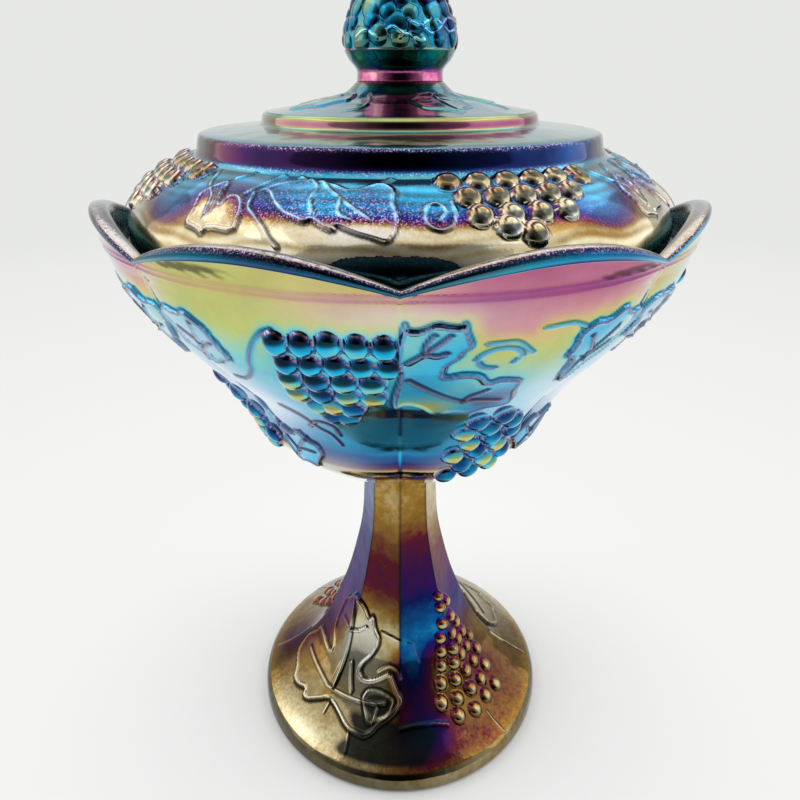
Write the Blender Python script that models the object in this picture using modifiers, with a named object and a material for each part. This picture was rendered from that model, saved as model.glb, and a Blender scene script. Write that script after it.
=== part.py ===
"""Lidded pedestal bowl of pressed carnival glass.

Four glass solids: the eight-petalled bowl, the panelled pedestal under it, the domed lid that
rests on a ledge inside the bowl's rim, and the grape finial on the lid.
Origin: centre of the foot's resting ring. +Z is up, and a panel crease faces the front, -Y.
"""

import math

import bmesh
import bpy
import numpy as np

MM = 0.001
GAP = 0.3 * MM  # kept between touching glass faces

# Driving heights above the table and radii from the axis
FOOT_RADIUS = 58.9 * MM
FOOT_BAND_TOP = 5.6 * MM
HOLLOW_TOP = 46.0 * MM
STEM_RADIUS = 13.6 * MM
BOWL_BOTTOM = 117.0 * MM
BOWL_FLOOR = 124.5 * MM
RIM_RADIUS = 88.0 * MM
RIM_TOP = 208.2 * MM
RIM_WALL = 5.2 * MM
LIP_DEPTH = 3.4 * MM
LEDGE_TOP = 195.7 * MM
LEDGE_OUTER = 80.8 * MM
LEDGE_INNER = 76.0 * MM
LID_RADIUS = 79.4 * MM
COLLAR_RADIUS = 58.5 * MM
COLLAR_TOP = 224.2 * MM
DISC_RADIUS = 39.6 * MM
NECK_RADIUS = 12.4 * MM
NECK_SEAM = 236.6 * MM
FINIAL_TOP = 265.0 * MM

# The eight panels that stem and bowl share
PANELS = 8
PANEL_ANGLE = 2 * math.pi / PANELS
RIM_DROP = 7.4 * MM  # how far the rim dips at each crease
CREASE_DEPTH = 1.6 * MM

# Grapes of the finial
GRAPE_ROWS = 5
GRAPES_ROUND = 10
GRAPE_RELIEF = 1.2 * MM
GRAPES_BOTTOM = 244.0 * MM
GRAPES_TOP = 262.0 * MM

# Facets round each turned solid, a multiple of the panels
BOWL_STEPS = 64
FOOT_STEPS = 48
LID_STEPS = 48
FINIAL_STEPS = 40


def clear_scene():
    for obj in list(bpy.data.objects):
        bpy.data.objects.remove(obj, do_unlink=True)


def make_collection(name):
    collection = bpy.data.collections.new(name)
    bpy.context.scene.collection.children.link(collection)
    return collection


def make_glass(name, colour, roughness, metallic):
    material = bpy.data.materials.new(name)
    material.use_nodes = True
    material.diffuse_color = (*colour, 1.0)
    shader = material.node_tree.nodes["Principled BSDF"]
    shader.inputs["Base Color"].default_value = (*colour, 1.0)
    shader.inputs["Roughness"].default_value = roughness
    shader.inputs["Metallic"].default_value = metallic
    shader.inputs["IOR"].default_value = 1.52
    return material


def smooth_run(points, pieces, panel=(0.0, 0.0)):
    """A smooth run of pieces + 1 profile points through the given (radius, height) points.

    The panel share goes evenly from panel[0] to panel[1] along the run.
    """
    knots = np.array(points, float)
    chord = np.hypot(*np.diff(knots, axis=0).T)
    at = np.concatenate([[0.0], np.cumsum(chord)])
    slope = np.gradient(knots, at, axis=0)
    run = []
    for s in np.linspace(0.0, at[-1], pieces + 1):
        k = min(int(np.searchsorted(at, s, side="right")) - 1, len(chord) - 1)
        span = chord[k]
        u = (s - at[k]) / span
        near = knots[k] * (1 + 2 * u) * (1 - u) ** 2 + slope[k] * span * u * (1 - u) ** 2
        far = knots[k + 1] * u * u * (3 - 2 * u) - slope[k + 1] * span * u * u * (1 - u)
        radius, height = near + far
        share = panel[0] + (panel[1] - panel[0]) * s / at[-1]
        run.append((max(radius, 0.0), height, share))
    return run


def turn(name, profile, steps, collection):
    """The closed solid that a profile of (radius, height, panel share) points sweeps out."""
    outline = bpy.data.meshes.new(name + "_outline")
    edges = [(k, k + 1) for k in range(len(profile) - 1)]
    outline.from_pydata([(r, 0.0, z) for r, z, _ in profile], edges, [])
    shares = outline.attributes.new("panel", "FLOAT", "POINT")
    shares.data.foreach_set("value", [share for _, _, share in profile])
    spun = bpy.data.objects.new(name + "_outline", outline)
    collection.objects.link(spun)
    screw = spun.modifiers.new("turn", "SCREW")
    screw.axis = "Z"
    screw.angle = 2 * math.pi
    screw.steps = steps
    screw.render_steps = steps
    screw.use_merge_vertices = True
    screw.merge_threshold = 0.00001
    graph = bpy.context.evaluated_depsgraph_get()
    mesh = bpy.data.meshes.new_from_object(spun.evaluated_get(graph), depsgraph=graph)
    bpy.data.objects.remove(spun, do_unlink=True)
    mesh.name = name
    body = bmesh.new()
    body.from_mesh(mesh)
    bmesh.ops.remove_doubles(body, verts=body.verts, dist=0.00001)
    body.to_mesh(mesh)
    body.free()
    obj = bpy.data.objects.new(name, mesh)
    collection.objects.link(obj)
    return obj


def shape(obj, form):
    """Moves each vertex to the (radius, height) that form gives for (radius, azimuth, height, share)."""
    shares = obj.data.attributes["panel"].data
    for vertex in obj.data.vertices:
        radius = math.hypot(vertex.co.x, vertex.co.y)
        azimuth = math.atan2(vertex.co.y, vertex.co.x)
        share = shares[vertex.index].value
        radius, height = form(radius, azimuth, vertex.co.z, share)
        vertex.co = (radius * math.cos(azimuth), radius * math.sin(azimuth), height)
    obj.data.update()


def finish(obj, material, sharp_angle=35):
    obj.data.materials.clear()
    obj.data.materials.append(material)
    obj.data.shade_smooth()
    obj.data.set_sharp_from_angle(angle=math.radians(sharp_angle))


def off_crease(azimuth):
    """0 on a crease between two panels, 1 in the middle of a panel."""
    place = (azimuth / PANEL_ANGLE) % 1.0
    return 1 - abs(2 * place - 1)


def petal_form(radius, azimuth, height, share):
    """Eight petals: the rim dips at every crease, and the outside is pinched in along it."""
    dip = (1 - off_crease(azimuth)) ** 1.9
    lift = (height - LEDGE_TOP) / (RIM_TOP - LEDGE_TOP)
    lift = min(max(lift, 0.0), 1.0)
    radius -= CREASE_DEPTH * share * (1 - off_crease(azimuth)) ** 3
    return radius, height - RIM_DROP * dip * lift


def octagon_form(radius, azimuth, height, share):
    """The stem's flat panels, with a ridge in line with each crease of the bowl."""
    half = PANEL_ANGLE / 2
    from_middle = half * (1 - off_crease(azimuth))
    flat = math.cos(half) / math.cos(from_middle)
    return radius * (1 - share + share * flat), height


def grape_form(radius, azimuth, height, share):
    """Staggered rows of grapes on the finial."""
    row = (height - GRAPES_BOTTOM) / (GRAPES_TOP - GRAPES_BOTTOM) * GRAPE_ROWS
    stagger = 0.5 * (math.floor(row) % 2)
    across = (azimuth / (2 * math.pi) * GRAPES_ROUND + stagger) % 1.0 - 0.5
    up = row % 1.0 - 0.5
    swell = max(0.0, 1 - 4 * (across * across + up * up)) ** 0.5
    return radius + GRAPE_RELIEF * share * (swell - 1), height


def make_bowl(collection):
    """Ogee bowl, open on top, with a lip that slopes inward to a ledge for the lid."""
    cavity = [
        (0.0, BOWL_FLOOR),
        (22.0 * MM, BOWL_FLOOR + 1.2 * MM),
        (38.0 * MM, 132.5 * MM),
        (46.4 * MM, 144.0 * MM),
        (53.3 * MM, 155.1 * MM),
        (62.2 * MM, 166.8 * MM),
        (70.4 * MM, 178.5 * MM),
        (74.6 * MM, 187.5 * MM),
        (LEDGE_INNER, LEDGE_TOP),
    ]
    inner_rim = RIM_RADIUS - RIM_WALL
    lip = [
        (LEDGE_OUTER, LEDGE_TOP, 0.0),
        (inner_rim - 0.2 * MM, RIM_TOP - 3.4 * MM, 0.0),
        (inner_rim + 0.3 * MM, RIM_TOP - 2.0 * MM, 0.1),
        (inner_rim + 1.4 * MM, RIM_TOP - 0.9 * MM, 0.3),
        (RIM_RADIUS - 2.0 * MM, RIM_TOP, 0.7),
        (RIM_RADIUS - 1.0 * MM, RIM_TOP - 0.1 * MM, 0.9),
        (RIM_RADIUS - 0.2 * MM, RIM_TOP - 0.8 * MM, 1.0),
        (RIM_RADIUS, RIM_TOP - 1.7 * MM, 1.0),
        (RIM_RADIUS - 0.1 * MM, RIM_TOP - LIP_DEPTH + 0.7 * MM, 1.0),
        (RIM_RADIUS - 0.8 * MM, RIM_TOP - LIP_DEPTH, 1.0),
    ]
    outside = [
        (RIM_RADIUS - 1.0 * MM, RIM_TOP - LIP_DEPTH - 1.0 * MM),
        (86.2 * MM, 199.0 * MM),
        (83.8 * MM, 190.2 * MM),
        (77.4 * MM, 178.5 * MM),
        (68.8 * MM, 166.8 * MM),
        (59.4 * MM, 155.1 * MM),
        (52.4 * MM, 143.4 * MM),
        (47.2 * MM, 132.0 * MM),
        (37.2 * MM, 122.9 * MM),
    ]
    underside = [
        (27.0 * MM, 119.5 * MM, 0.6),
        (17.0 * MM, BOWL_BOTTOM, 0.0),
        (0.0, BOWL_BOTTOM, 0.0),
    ]
    profile = smooth_run(cavity, 12) + lip
    profile += smooth_run(outside, 13, panel=(1.0, 1.0)) + underside
    bowl = turn("bowl", profile, BOWL_STEPS, collection)
    shape(bowl, petal_form)
    return bowl


def make_pedestal(collection):
    """Eight-sided stem that flares into a round foot, hollow underneath."""
    stem_top = BOWL_BOTTOM - GAP
    flare = [
        (STEM_RADIUS, stem_top),
        (STEM_RADIUS, 101.0 * MM),
        (15.0 * MM, 82.0 * MM),
        (17.5 * MM, 70.3 * MM),
        (20.6 * MM, 58.6 * MM),
        (24.8 * MM, 46.9 * MM),
        (31.0 * MM, 32.2 * MM),
    ]
    flange = [
        (31.0 * MM, 32.2 * MM),
        (39.8 * MM, 20.6 * MM),
        (47.6 * MM, 13.9 * MM),
        (53.2 * MM, 10.0 * MM),
        (FOOT_RADIUS - 2.0 * MM, 7.4 * MM),
    ]
    band = [
        (FOOT_RADIUS - 0.6 * MM, FOOT_BAND_TOP, 0.0),
        (FOOT_RADIUS, FOOT_BAND_TOP - 2.2 * MM, 0.0),
        (FOOT_RADIUS, 0.8 * MM, 0.0),
        (FOOT_RADIUS - 0.8 * MM, 0.0, 0.0),
    ]
    hollow = [
        (FOOT_RADIUS - 8.0 * MM, 0.0),
        (44.0 * MM, 7.0 * MM),
        (33.0 * MM, 15.5 * MM),
        (23.5 * MM, 27.5 * MM),
        (14.5 * MM, 40.5 * MM),
        (0.0, HOLLOW_TOP),
    ]
    profile = [(0.0, stem_top, 0.0)]
    profile += smooth_run(flare, 10, panel=(1.0, 1.0))
    profile += smooth_run(flange, 6, panel=(1.0, 0.0))[1:]
    profile += band
    profile += smooth_run(hollow, 8)
    pedestal = turn("pedestal", profile, FOOT_STEPS, collection)
    shape(pedestal, octagon_form)
    return pedestal


def make_lid(collection):
    """Domed lid with a flat-topped collar, a raised disc and a short neck, hollow underneath."""
    seat = LEDGE_TOP + GAP
    crown = [
        (NECK_RADIUS, NECK_SEAM - GAP),
        (15.6 * MM, 233.6 * MM),
        (24.6 * MM, 231.2 * MM),
        (DISC_RADIUS - 0.8 * MM, 228.8 * MM),
    ]
    collar = [
        (DISC_RADIUS, 228.0 * MM, 0.0),
        (DISC_RADIUS + 0.5 * MM, 225.6 * MM, 0.0),
        (COLLAR_RADIUS - 3.2 * MM, COLLAR_TOP, 0.0),
        (COLLAR_RADIUS - 1.3 * MM, COLLAR_TOP - 0.8 * MM, 0.0),
        (COLLAR_RADIUS - 0.6 * MM, COLLAR_TOP - 2.4 * MM, 0.0),
        (COLLAR_RADIUS, 219.4 * MM, 0.0),
    ]
    dome = [
        (COLLAR_RADIUS + 1.8 * MM, 218.0 * MM),
        (67.1 * MM, 215.2 * MM),
        (73.4 * MM, 210.6 * MM),
        (77.2 * MM, 206.4 * MM),
        (79.0 * MM, 202.8 * MM),
        (LID_RADIUS, 200.2 * MM),
    ]
    edge = [
        (LID_RADIUS - 0.2 * MM, seat + 0.8 * MM, 0.0),
        (LID_RADIUS - 1.0 * MM, seat, 0.0),
        (LID_RADIUS - 6.4 * MM, seat, 0.0),
    ]
    inside = [
        (LID_RADIUS - 7.4 * MM, 201.0 * MM),
        (67.1 * MM, 207.6 * MM),
        (60.5 * MM, 211.8 * MM),
        (54.0 * MM, 214.2 * MM),
    ]
    ceiling = [
        (52.4 * MM, 216.8 * MM, 0.0),
        (51.0 * MM, 219.6 * MM, 0.0),
        (37.0 * MM, 221.4 * MM, 0.0),
        (22.0 * MM, 225.8 * MM, 0.0),
        (0.0, 228.0 * MM, 0.0),
    ]
    profile = [(0.0, NECK_SEAM - GAP, 0.0)]
    profile += smooth_run(crown, 5) + collar + smooth_run(dome, 7) + edge
    profile += smooth_run(inside, 5) + ceiling
    return turn("lid", profile, LID_STEPS, collection)


def make_finial(collection):
    """Upright bunch of grapes over a smooth band and a short neck."""
    neck = [
        (NECK_RADIUS, NECK_SEAM),
        (NECK_RADIUS, 239.2 * MM),
        (14.4 * MM, 241.7 * MM),
        (15.7 * MM, GRAPES_BOTTOM),
    ]
    bunch = [
        (15.7 * MM, GRAPES_BOTTOM),
        (16.1 * MM, 246.6 * MM),
        (15.6 * MM, 249.2 * MM),
        (13.5 * MM, 253.8 * MM),
        (10.9 * MM, 259.0 * MM),
        (6.4 * MM, 263.3 * MM),
        (0.0, FINIAL_TOP),
    ]
    grapes = smooth_run(bunch[::-1], 16)
    profile = [(r, z, 1.0 if GRAPES_BOTTOM < z < GRAPES_TOP else 0.0) for r, z, _ in grapes]
    profile += smooth_run(neck[::-1], 4)[1:]
    profile.append((0.0, NECK_SEAM, 0.0))
    finial = turn("finial", profile, FINIAL_STEPS, collection)
    shape(finial, grape_form)
    return finial


def main():
    clear_scene()
    parts = make_collection("carnival_glass_bowl")
    bowl = make_bowl(parts)
    pedestal = make_pedestal(parts)
    lid = make_lid(parts)
    finial = make_finial(parts)
    finish(bowl, make_glass("bowl_glass", (0.20, 0.52, 0.55), 0.08, 0.6))
    finish(pedestal, make_glass("pedestal_glass", (0.36, 0.27, 0.45), 0.08, 0.6))
    finish(lid, make_glass("lid_glass", (0.12, 0.33, 0.58), 0.10, 0.6))
    finish(finial, make_glass("finial_glass", (0.05, 0.33, 0.42), 0.12, 0.6))

    # The lid and its finial lift off together along the axis
    lid_axis = bpy.data.objects.new("lid_axis", None)
    parts.objects.link(lid_axis)
    lid_axis.location = (0.0, 0.0, LEDGE_TOP)
    bpy.context.view_layer.update()
    for piece in (lid, finial):
        piece.parent = lid_axis
        piece.matrix_parent_inverse = lid_axis.matrix_world.inverted()


main()
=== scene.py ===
import math

import bpy
import numpy as np
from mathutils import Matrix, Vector


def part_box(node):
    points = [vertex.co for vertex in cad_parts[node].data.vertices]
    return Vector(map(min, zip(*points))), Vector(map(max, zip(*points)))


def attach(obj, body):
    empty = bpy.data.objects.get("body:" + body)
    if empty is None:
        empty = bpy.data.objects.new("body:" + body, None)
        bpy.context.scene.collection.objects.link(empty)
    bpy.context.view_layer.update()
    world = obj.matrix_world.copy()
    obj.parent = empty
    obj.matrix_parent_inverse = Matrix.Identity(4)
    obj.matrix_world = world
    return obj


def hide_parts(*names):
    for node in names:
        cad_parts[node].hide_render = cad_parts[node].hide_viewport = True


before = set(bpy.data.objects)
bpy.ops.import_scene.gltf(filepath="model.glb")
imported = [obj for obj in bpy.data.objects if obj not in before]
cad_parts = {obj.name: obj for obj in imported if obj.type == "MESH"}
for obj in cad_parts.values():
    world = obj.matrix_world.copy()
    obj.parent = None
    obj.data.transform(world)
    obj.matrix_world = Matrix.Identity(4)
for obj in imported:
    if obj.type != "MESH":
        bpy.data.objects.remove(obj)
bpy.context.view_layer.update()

MM = 0.001
REPEAT = 90.0  # degrees from one bunch of grapes to the next on bowl and lid
PANEL = 45.0   # degrees across one of the eight panels


def corner(node, which):
    """The lowest (0) or highest (1) corner of a CAD node, in millimetres."""
    return [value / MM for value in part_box(node)[which]]


# Driving sizes in millimetres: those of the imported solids, then those of the glass details
BOWL_BOTTOM, RIM_TOP = corner("bowl", 0)[2], corner("bowl", 1)[2]
FOOT_RADIUS, STEM_TOP = corner("pedestal", 1)[0], corner("pedestal", 1)[2]
LID_SEAT, LID_TOP = corner("lid", 0)[2], corner("lid", 1)[2]
LID_RADIUS = corner("lid", 1)[0]
FINIAL_TOP = corner("finial", 1)[2]

RIM_RADIUS = 87.95
RIM_WALL = 5.2
LIP_DEPTH = 3.4
LEDGE_TOP = LID_SEAT - 0.3
LEDGE_OUTER, LEDGE_INNER = 80.8, 76.0
RIM_DROP = 7.4      # from a petal's tip down to the notch beside it
CREASE_DEPTH = 1.6
COLLAR_RADIUS, COLLAR_TOP = 58.5, 224.2
DISC_RADIUS = 39.6
NECK_RADIUS = 12.4
STEM_RADIUS = 13.6

# Columns of each turned grid
BOWL_COLUMNS = LID_COLUMNS = 960
FOOT_COLUMNS = 800
FINIAL_COLUMNS = 480


# ---------------------------------------------------------------- helpers

def smoothstep(low, high, x):
    """0 up to low and 1 from high on, with a smooth ramp between; low may be the larger."""
    t = np.clip((x - low) / (high - low), 0.0, 1.0)
    return t * t * (3 - 2 * t)


def bell(x, wide):
    return np.exp(-(x / wide) ** 2)


def wave(degrees):
    return np.sin(np.radians(degrees))


def wrap(angle, period=360.0):
    return (angle + period / 2) % period - period / 2


def towards(value, target, share):
    return value + (target - value) * share


def stepped(height, steps):
    """A value at every height, from (height, value) pairs."""
    return np.interp(height, *zip(*steps))


def blob(azimuth, height, at_azimuth, at_height, wide, tall, period=360.0):
    """1 at one place of a turned surface, falling off smoothly around it."""
    return bell(wrap(azimuth - at_azimuth, period), wide) * bell(height - at_height, tall)


def spots(azimuth, height, rows, period=360.0):
    """The sum of blobs, each given as (weight, azimuth, height, half width, half height)."""
    return sum(row[0] * blob(azimuth, height, *row[1:], period) for row in rows)


# ---------------------------------------------------------------- profiles

def smooth_run(points, pieces):
    """A smooth run of pieces + 1 (radius, height) points through the given ones."""
    knots = np.array(points, float)
    chord = np.hypot(*np.diff(knots, axis=0).T)
    at = np.concatenate([[0.0], np.cumsum(chord)])
    slope = np.gradient(knots, at, axis=0)
    s = np.linspace(0.0, at[-1], pieces + 1)
    k = np.clip(np.searchsorted(at, s, side="right") - 1, 0, len(chord) - 1)
    span = chord[k][:, None]
    u = ((s - at[k]) / chord[k])[:, None]
    near = knots[k] * (1 + 2 * u) * (1 - u) ** 2 + slope[k] * span * u * (1 - u) ** 2
    far = knots[k + 1] * u * u * (3 - 2 * u) - slope[k + 1] * span * u * u * (1 - u)
    run = near + far
    run[:, 0] = np.maximum(run[:, 0], 0.0)
    return run


def rounded(points, radius, step):
    """Straight stretches with each inner corner rounded off, and no two points over step apart."""
    knots = np.array(points, float)
    bends = [knots[0]]
    for before, here, after in zip(knots[:-2], knots[1:-1], knots[2:]):
        back, ahead = before - here, after - here
        reach = min(radius, 0.45 * np.hypot(*back), 0.45 * np.hypot(*ahead))
        start = here + back / np.hypot(*back) * reach
        end = here + ahead / np.hypot(*ahead) * reach
        for t in np.linspace(0, 1, 6):
            bends.append(start * (1 - t) ** 2 + here * 2 * t * (1 - t) + end * t * t)
    bends.append(knots[-1])
    run = [bends[0]]
    for a, b in zip(bends[:-1], bends[1:]):
        count = max(1, math.ceil(np.hypot(*(b - a)) / step))
        run.extend(a + (b - a) * (k / count) for k in range(1, count + 1))
    return np.array(run)


def join(*runs):
    """All the runs as one profile, and the rows that each run has in it."""
    ends = np.cumsum([len(run) for run in runs])
    return np.vstack(runs), [slice(end - len(run), end) for run, end in zip(runs, ends)]


# ---------------------------------------------------------------- raised ornament

def catmull(points, pieces=8):
    """A smooth open curve through the points."""
    p = np.vstack([2 * points[0] - points[1], points, 2 * points[-1] - points[-2]])
    curve = []
    for a, b, c, d in zip(p[:-3], p[1:-2], p[2:-1], p[3:]):
        for t in np.linspace(0, 1, pieces, endpoint=False):
            curve.append(0.5 * (2 * b + (c - a) * t + (2 * a - 5 * b + 4 * c - d) * t * t
                                + (3 * b - a - 3 * c + d) * t ** 3))
    return np.array(curve + [p[-2]])


def soften(points, share=0.22):
    """A closed outline with its corners cut, so that it turns a little more gently."""
    after = np.roll(points, -1, axis=0)
    cut = [points + (after - points) * share, after + (points - after) * share]
    return np.stack(cut, axis=1).reshape(-1, 2)


def ways(x, y, starts, ends):
    """For each straight piece of a path, the ways right and up to (x, y) from its nearest point."""
    for (ax, ay), (bx, by) in zip(starts, ends):
        dx, dy = bx - ax, by - ay
        t = np.clip(((x - ax) * dx + (y - ay) * dy) / (dx * dx + dy * dy + 1e-9), 0, 1)
        yield x - ax - t * dx, y - ay - t * dy


def is_inside(x, y, outline):
    """Whether each (x, y) is inside the closed outline."""
    inside = np.zeros(x.shape, bool)
    for (ax, ay), (bx, by) in zip(outline, np.roll(outline, -1, axis=0)):
        dy = by - ay if abs(by - ay) > 1e-9 else 1e-9
        inside ^= ((ay > y) != (by > y)) & (x < ax + (y - ay) * (bx - ax) / dy)
    return inside


class Relief:
    """Raised ornament on a turned surface, worked out over one repeat of the pattern.

    The profile's (radius, height) points run down the surface; azimuths are in degrees, 0 at the
    front. Each field has one value for each point of the surface:
    up      how far the ornament stands proud, in millimetres
    near    distance to the nearest ornament, in millimetres
    grape   1 on a grape
    lift    -1 at a grape's lower edge, 1 at its upper edge
    edge    0 in a grape's middle, 1 at its edge
    tone    from -1 to 1, the same all over one grape
    line    1 on an outline, vein or tendril
    groove  1 in the groove beside an outline, vein or tendril
    leaf    1 on a leaf
    """

    FIELDS = ("up", "near", "grape", "lift", "edge", "tone", "line", "groove", "leaf")
    FAR = 99.0    # stands for no ornament near
    MARGIN = 8.0  # how far around a line or leaf the surface is worked on

    def __init__(self, profile, azimuths, period):
        self.radius, self.heights = profile[:, 0], profile[:, 1]
        steps = np.hypot(*np.diff(profile, axis=0).T)
        self.arc = np.concatenate([[0.0], np.cumsum(steps)])
        self.azimuth, self.period = azimuths, period
        for field in self.FIELDS:
            setattr(self, field, np.zeros((len(profile), len(azimuths))))
        self.near += self.FAR

    def tile(self, times):
        """Repeats the pattern round the whole surface."""
        for field in self.FIELDS:
            setattr(self, field, np.tile(getattr(self, field), (1, times)))

    def raise_most(self, mask, **values):
        """Raises each field to the given values, where it is lower."""
        for field, value in values.items():
            grid = getattr(self, field)
            grid[mask] = np.maximum(grid[mask], value)

    def arc_at(self, height):
        return np.interp(-height, -self.heights, self.arc)

    def local(self, azimuth, height):
        """Distances right of and above a point of the surface, for every grid point."""
        turn = np.radians(wrap(self.azimuth - azimuth, self.period))
        across = turn[None, :] * self.radius[:, None]
        rise = self.arc_at(height) - self.arc[:, None]
        return across, np.broadcast_to(rise, across.shape)

    def unrolled(self, points, centre):
        """Surface points (azimuth, height) as distances right of and above the centre."""
        azimuth, height = np.array(points, float).T
        radius = np.interp(-height, -self.heights, self.radius)
        return np.column_stack([np.radians(azimuth - centre[0]) * radius,
                                self.arc_at(centre[1]) - self.arc_at(height)])

    def around(self, path, centre):
        """The grid points near a path: a mask, and their distances from the centre."""
        across, rise = self.local(*centre)
        low, high = path.min(axis=0) - self.MARGIN, path.max(axis=0) + self.MARGIN
        mask = (across > low[0]) & (across < high[0]) & (rise > low[1]) & (rise < high[1])
        return mask, across[mask], rise[mask]

    def add_grape(self, azimuth, height, size, proud, squash=1.0, lean=0.0):
        across, rise = self.local(azimuth, height)
        lift = rise / squash / size
        away = np.hypot(across, rise / squash) / size
        dome = proud * np.clip(1 - away ** 2, 0, None) ** 0.5 * (1 - lean * lift)
        won = dome > self.up
        tone = math.sin(azimuth * 1.7 + height * 2.3)
        for field, value in zip(("up", "grape", "lift", "edge", "tone", "line", "groove"),
                                (dome, 1.0, lift, away, tone, 0.0, 0.0)):
            setattr(self, field, np.where(won, value, getattr(self, field)))
        self.near = np.minimum(self.near, np.clip(away - 1, 0, None) * size)

    def add_rows(self, rows, size, proud, lean=0.0, climb=0.0):
        """Rows of grapes, each given as (height, first azimuth, step, count)."""
        for height, first, step, count in rows:
            for k in range(count):
                self.add_grape(first + k * step, height + climb * k, size, proud, lean=lean)

    def add_line(self, points, width, proud, on_top=False):
        """A smooth ridge; on top, it is added to what it crosses."""
        centre = points[len(points) // 2]
        path = catmull(self.unrolled(points, centre))
        mask, x, y = self.around(path, centre)
        away = np.full(x.shape, self.FAR)
        above = np.zeros(x.shape)
        for right, over in ways(x, y, path[:-1], path[1:]):
            gap = np.hypot(right, over)
            above = np.where(gap < away, over, above)
            away = np.minimum(away, gap)
        ridge = bell(away, width)
        if on_top:
            self.up[mask] += proud * ridge
        else:
            self.raise_most(mask, up=proud * ridge)
        self.raise_most(mask, line=ridge, groove=bell(away - 1.5 * width, 0.7 * width) * (above > 0))
        self.near[mask] = np.minimum(self.near[mask], away + (0.0 if on_top else 1.2))

    def add_lines(self, lines, width, proud, on_top=False):
        for points in lines:
            self.add_line(points, width, proud, on_top)

    def add_leaf(self, outline, proud, rim, rim_width, veins=(), vein_width=0.5, vein_proud=0.5):
        """A low plateau with a crisp raised outline, and its veins."""
        centre = np.mean(np.array(outline, float), axis=0)
        path = soften(self.unrolled(outline, centre))
        mask, x, y = self.around(path, centre)
        away = np.full(x.shape, self.FAR)
        for right, over in ways(x, y, path, np.roll(path, -1, axis=0)):
            away = np.minimum(away, np.hypot(right, over))
        signed = np.where(is_inside(x, y, path), away, -away)
        ridge = bell(signed - 0.5, rim_width)
        self.raise_most(mask, up=proud * smoothstep(-0.4, 0.5, signed) + rim * ridge, line=ridge,
                        groove=bell(signed + 0.45, 0.9 * rim_width),
                        leaf=smoothstep(-0.3, 0.3, signed))
        self.near[mask] = np.minimum(self.near[mask], np.clip(-signed, 0, None))
        self.add_lines(veins, vein_width, vein_proud, on_top=True)


# ---------------------------------------------------------------- meshes

def turned(radius, azimuths, height):
    """Grid points for radii and heights turned round the axis; azimuth 0 faces -Y, 90 faces +X."""
    a = np.radians(azimuths)
    x, y = radius * np.sin(a), -radius * np.cos(a)
    return np.stack([x, y, np.broadcast_to(height, x.shape)], axis=2)


def round_azimuths(columns):
    return np.arange(columns) * 360.0 / columns


def raise_ornament(points, rows, proud):
    """Moves the given rows outwards, square to the surface."""
    along = np.gradient(points, axis=0)
    around = np.roll(points, -1, axis=1) - np.roll(points, 1, axis=1)
    normal = np.cross(along, around)
    normal /= np.maximum(np.linalg.norm(normal, axis=2, keepdims=True), 1e-12)
    points[rows] += normal[rows] * proud[:, :, None]


def off_crease(azimuth):
    """0 on a crease between two panels, 1 in the middle of a panel; azimuth in degrees."""
    return 1 - np.abs(2 * ((azimuth / PANEL) % 1.0) - 1)


def add_object(name, data):
    made = bpy.data.objects.new(name, data)
    bpy.context.scene.collection.objects.link(made)
    return made


def glass_solid(name, points, attributes, body, node, material):
    """A closed solid from a grid of rows x columns points (mm); first and last rows on the axis."""
    rows, columns, _ = points.shape

    def closed(grid):
        """The grid's inner rows, between one point for each of its end rows."""
        ends = grid[0].mean(axis=0, keepdims=True), grid[-1].mean(axis=0, keepdims=True)
        inner = grid[1:-1].reshape(-1, *grid.shape[2:])
        return np.concatenate([ends[0], inner, ends[1]])

    coords = closed(points) * MM
    ring = np.arange(columns)
    after = (ring + 1) % columns
    upper = 1 + columns * np.arange(rows - 3)[:, None]
    lower = upper + columns
    quads = np.stack([upper + ring, lower + ring, lower + after, upper + after], axis=2)
    top = 1 + (rows - 3) * columns
    start = np.column_stack([np.zeros(columns, int), 1 + ring, 1 + after])
    end = np.column_stack([np.full(columns, len(coords) - 1), top + after, top + ring])
    mesh = bpy.data.meshes.new(name)
    mesh.from_pydata(coords.tolist(), [],
                     start.tolist() + quads.reshape(-1, 4).tolist() + end.tolist())
    for key in ("film", "stipple", "painted_sheen", "shade", "matt"):
        grid = attributes.get(key, np.zeros((rows, columns)))
        layer = mesh.attributes.new(key, "FLOAT", "POINT")
        layer.data.foreach_set("value", closed(grid).astype(np.float32))
    mesh.update()
    mesh.shade_smooth()
    mesh.materials.append(material)
    obj = add_object(name, mesh)
    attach(obj, body)
    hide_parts(node)
    return obj


# ---------------------------------------------------------------- glass

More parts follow.
